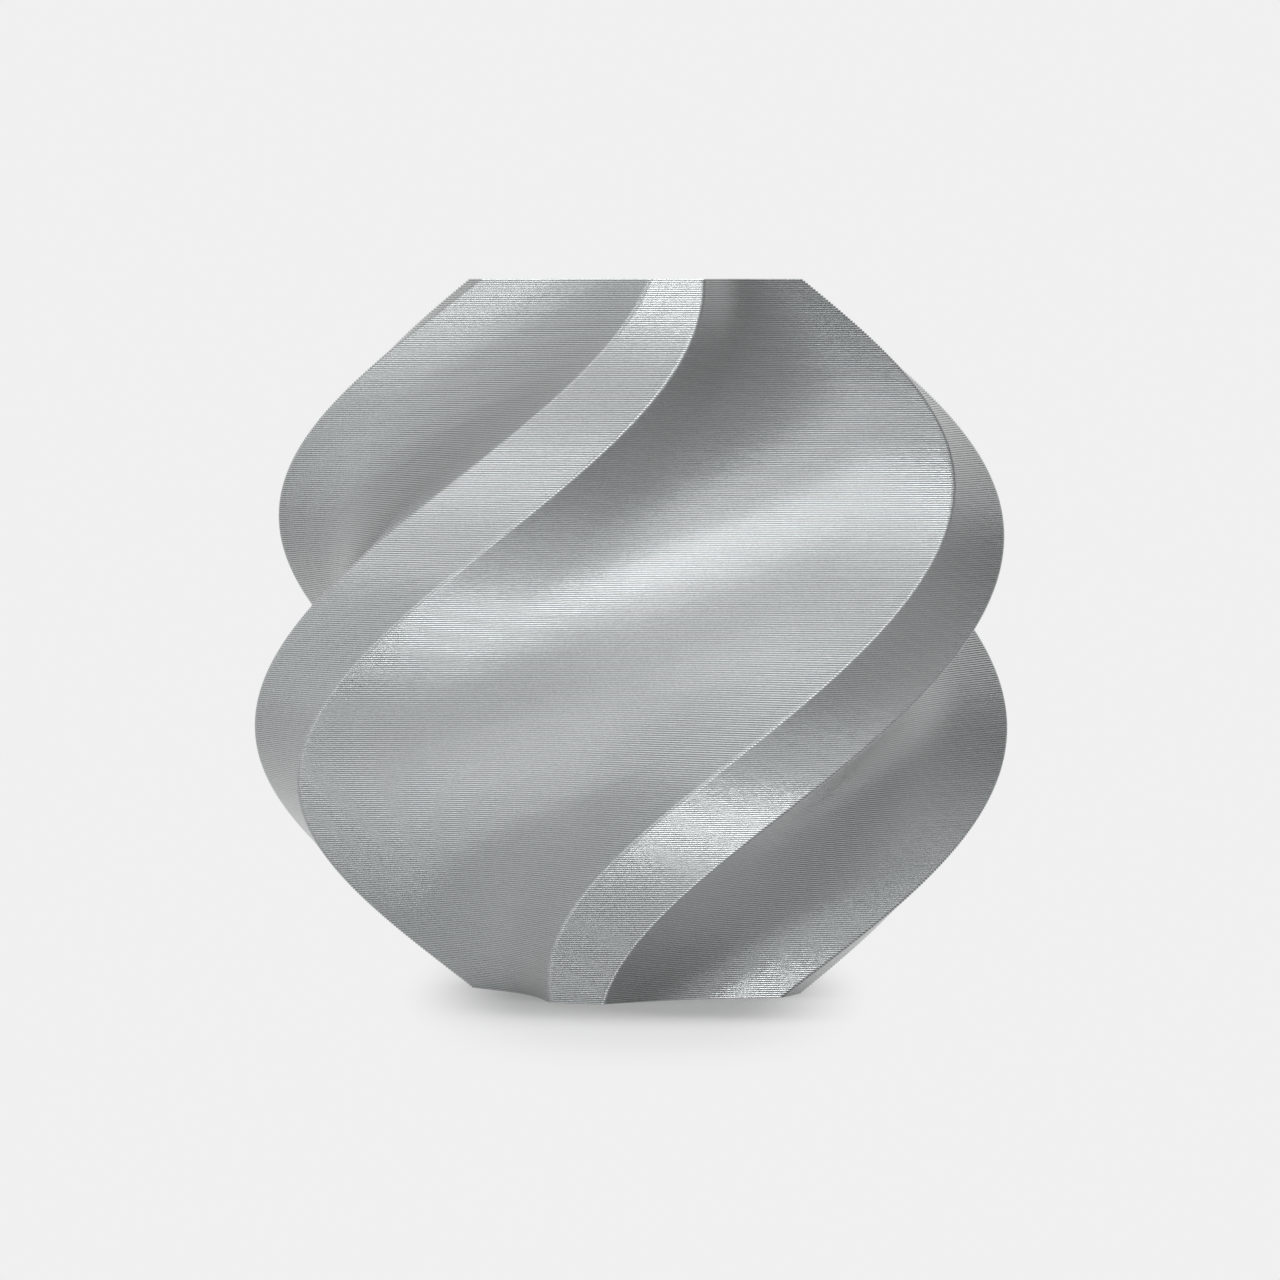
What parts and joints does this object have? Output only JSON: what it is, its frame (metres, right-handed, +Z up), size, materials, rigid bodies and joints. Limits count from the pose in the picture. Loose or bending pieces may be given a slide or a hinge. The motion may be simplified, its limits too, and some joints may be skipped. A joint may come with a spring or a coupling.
{
  "type": "twisted vase",
  "caption": "Round-bellied vase with flat ribs and deep flutes that twist upwards, flat foot and open mouth, 3D printed in silver filament.",
  "frame": {"origin": "centre of the foot, on the surface that the vase stands on", "axes": "+Z up along the axis that the ribs twist about, -Y towards the front of the picture, +X to the right of the picture"},
  "size_m": [0.0722, 0.0722, 0.0684],
  "materials": {
    "silver_filament": "silky metallic plastic with fine glitter and horizontal layer lines"
  },
  "bodies": {
    "root": {"outer_wall": "silver_filament", "inner_wall": "silver_filament", "first_floor_layer": "silver_filament", "upper_floor_layers": "silver_filament"}
  },
  "joints": []
}
